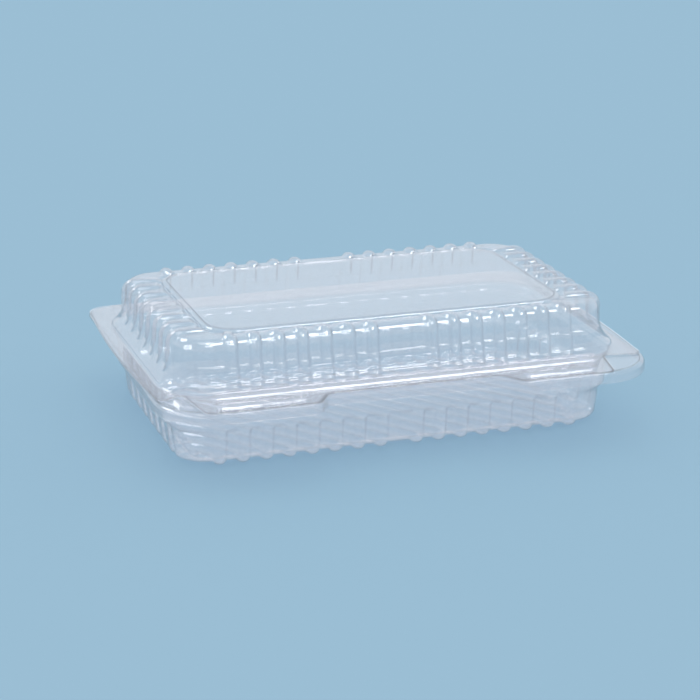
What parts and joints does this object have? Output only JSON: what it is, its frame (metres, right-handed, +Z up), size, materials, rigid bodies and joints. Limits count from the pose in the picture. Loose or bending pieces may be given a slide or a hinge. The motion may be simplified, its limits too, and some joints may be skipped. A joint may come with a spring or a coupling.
{
  "type": "plastic clamshell pack",
  "caption": "Clear hinged food pack with a ribbed tray, a ribbed domed lid, a turned-down front lip with thumb notches and a fold along the back that the lid opens on.",
  "frame": {"origin": "centre of the tray's flat standing face, on the surface that the pack stands on", "axes": "+X along the long side, +Y to the fold at the back, +Z up"},
  "size_m": [0.2162, 0.1628, 0.0558],
  "materials": {
    "clear_sheet": "clear glossy thermoformed PET sheet"
  },
  "bodies": {
    "tray": {"base_tray": "clear_sheet"},
    "cover": {"lid": "clear_sheet"}
  },
  "joints": [
    {"name": "lid_hinge", "type": "hinge", "parent": "tray", "child": "cover", "pos_m": [0, 0.0767, 0.03315], "axis": [-1, 0, 0], "range_deg": [0, 180]}
  ]
}
